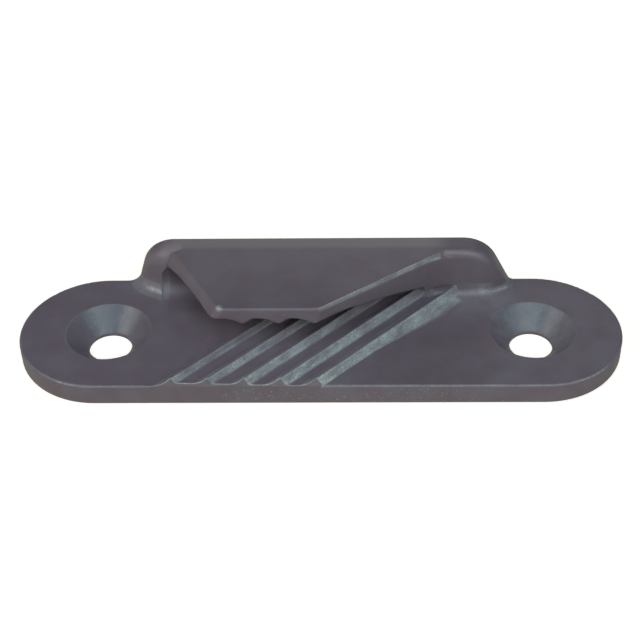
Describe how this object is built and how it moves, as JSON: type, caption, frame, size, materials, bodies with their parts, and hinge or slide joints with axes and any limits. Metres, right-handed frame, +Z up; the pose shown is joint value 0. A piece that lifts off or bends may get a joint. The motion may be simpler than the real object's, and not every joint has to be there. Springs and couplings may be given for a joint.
{
  "type": "jam cleat",
  "caption": "Side-entry jam cleat: a plate with round ends and countersunk screw holes, a back wall and an overhanging hood, with opposed slanted teeth that grip a rope",
  "frame": {"origin": "middle of the plate's underside", "axes": "X along the plate, with the rope's mouth at -X, +Y towards the wall at the back, +Z up from the deck"},
  "size_m": [0.082, 0.0226, 0.0108],
  "materials": {
    "anodised_body": "hard anodised dark grey, satin, slightly worn"
  },
  "bodies": {
    "root": {"cleat_body": "anodised_body"}
  },
  "joints": []
}
